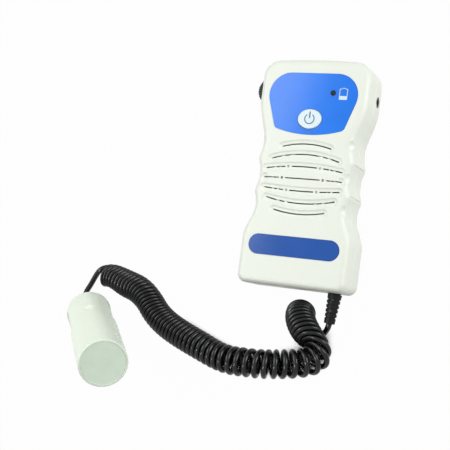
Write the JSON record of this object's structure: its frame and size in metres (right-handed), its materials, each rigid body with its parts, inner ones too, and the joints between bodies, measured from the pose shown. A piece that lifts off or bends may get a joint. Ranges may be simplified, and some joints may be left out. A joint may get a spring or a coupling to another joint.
{
  "type": "fetal doppler monitor",
  "caption": "Pocket fetal heartbeat detector: hand unit with speaker grille, power key and volume wheel, joined by a curly lead to an ultrasound probe.",
  "frame": {"origin": "middle of the hand unit's back, on the surface that the unit lies on", "axes": "+Z out of the keypad face, +Y towards the hand unit's head, +X towards its headphone socket; the lead leaves the base towards -Y and the probe stands towards -X"},
  "size_m": [0.1985, 0.2212, 0.0883],
  "materials": {
    "casing_white": "satin",
    "keypad_blue": "satin film",
    "badge_blue": "satin film",
    "key_pale": "satin",
    "led_lens": "smoked",
    "wheel_plastic": "ridged",
    "component_dark": "moulded",
    "socket_black": "moulded",
    "board_green": "solder mask",
    "speaker_steel": "plated",
    "speaker_paper": "pressed",
    "magnet_steel": "plated",
    "gasket_foam": "foam",
    "cell_jacket": "printed jacket without print",
    "contact_nickel": "nickel plate",
    "screw_zinc": "zinc plate",
    "relief_black": "moulded",
    "cord_black": "glossy",
    "probe_green": "satin",
    "lens_green": "smooth",
    "crystal_ceramic": "plain",
    "backing_resin": "cast"
  },
  "bodies": {
    "casing": {"front_shell": "casing_white", "rear_shell": "casing_white", "keypad_overlay": "keypad_blue", "badge_plate": "badge_blue", "led_indicator": "led_lens", "volume_control": "component_dark", "headphone_socket": "socket_black", "main_board": "board_green", "power_switch": "component_dark", "board_components": "component_dark", "speaker_frame": "speaker_steel", "speaker_cone": "speaker_paper", "speaker_magnet": "magnet_steel", "speaker_gasket": "gasket_foam", "battery_cells": "cell_jacket", "battery_contacts": "contact_nickel", "case_screw_set": "screw_zinc", "board_screw_set": "screw_zinc", "strain_relief": "relief_black", "unit_lead": "cord_black", "coiled_lead": "cord_black", "probe_lead": "cord_black"},
    "battery_door": {"battery_door": "casing_white"},
    "power_key": {"power_key": "key_pale"},
    "volume_wheel": {"volume_wheel": "wheel_plastic"},
    "probe": {"probe_upper_shell": "probe_green", "probe_lower_shell": "probe_green", "probe_lens": "lens_green", "probe_crystals": "crystal_ceramic", "probe_backing": "backing_resin", "probe_board": "board_green", "probe_grommet": "relief_black"}
  },
  "joints": [
    {"name": "key_press", "type": "slide", "parent": "casing", "child": "power_key", "axis": [0, 0, -1], "range_m": [0, 0.0006], "stiffness_N_per_m": 1500, "springref_m": -0.0004},
    {"name": "volume_turn", "type": "hinge", "parent": "casing", "child": "volume_wheel", "pos_m": [-0.031, 0.0523, 0.0218], "axis": [0, 0, -1], "range_deg": [0, 270]},
    {"name": "door_slide", "type": "slide", "parent": "casing", "child": "battery_door", "axis": [0, -1, 0], "range_m": [0, 0.006]},
    {"name": "probe_lift", "type": "slide", "parent": "casing", "child": "probe", "axis": [0, 0, 1], "range_m": [0, 0.06]}
  ]
}
